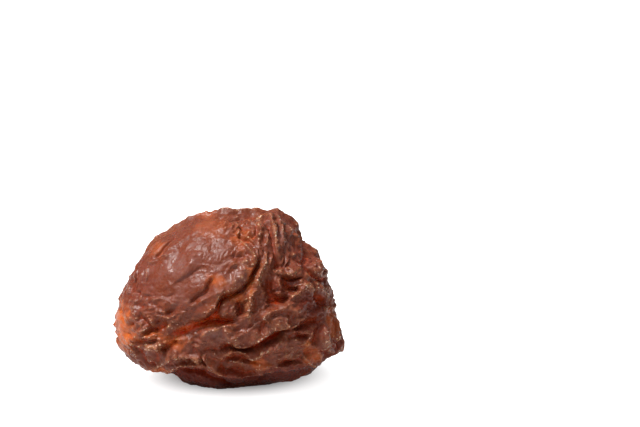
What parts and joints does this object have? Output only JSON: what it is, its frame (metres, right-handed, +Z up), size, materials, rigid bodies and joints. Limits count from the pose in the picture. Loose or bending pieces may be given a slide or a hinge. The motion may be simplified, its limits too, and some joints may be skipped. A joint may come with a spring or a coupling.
{
  "type": "monukka raisin",
  "caption": "Large dried grape lying at rest: a plump, slightly flattened berry with one smooth domed shoulder and deep, branching folds in its skin.",
  "frame": {"origin": "middle of the bounding box's footprint, on the surface that it rests on", "axes": "+X along the longest direction, towards the folded end; -Y is the front, with the smooth shoulder and the main folds; +Z up"},
  "size_m": [0.018, 0.0128, 0.0138],
  "materials": {
    "skin": "half-dull dried skin, mauve brown where it bears a bloom, orange red where it is thin"
  },
  "bodies": {
    "root": {"raisin": "skin"}
  },
  "joints": []
}
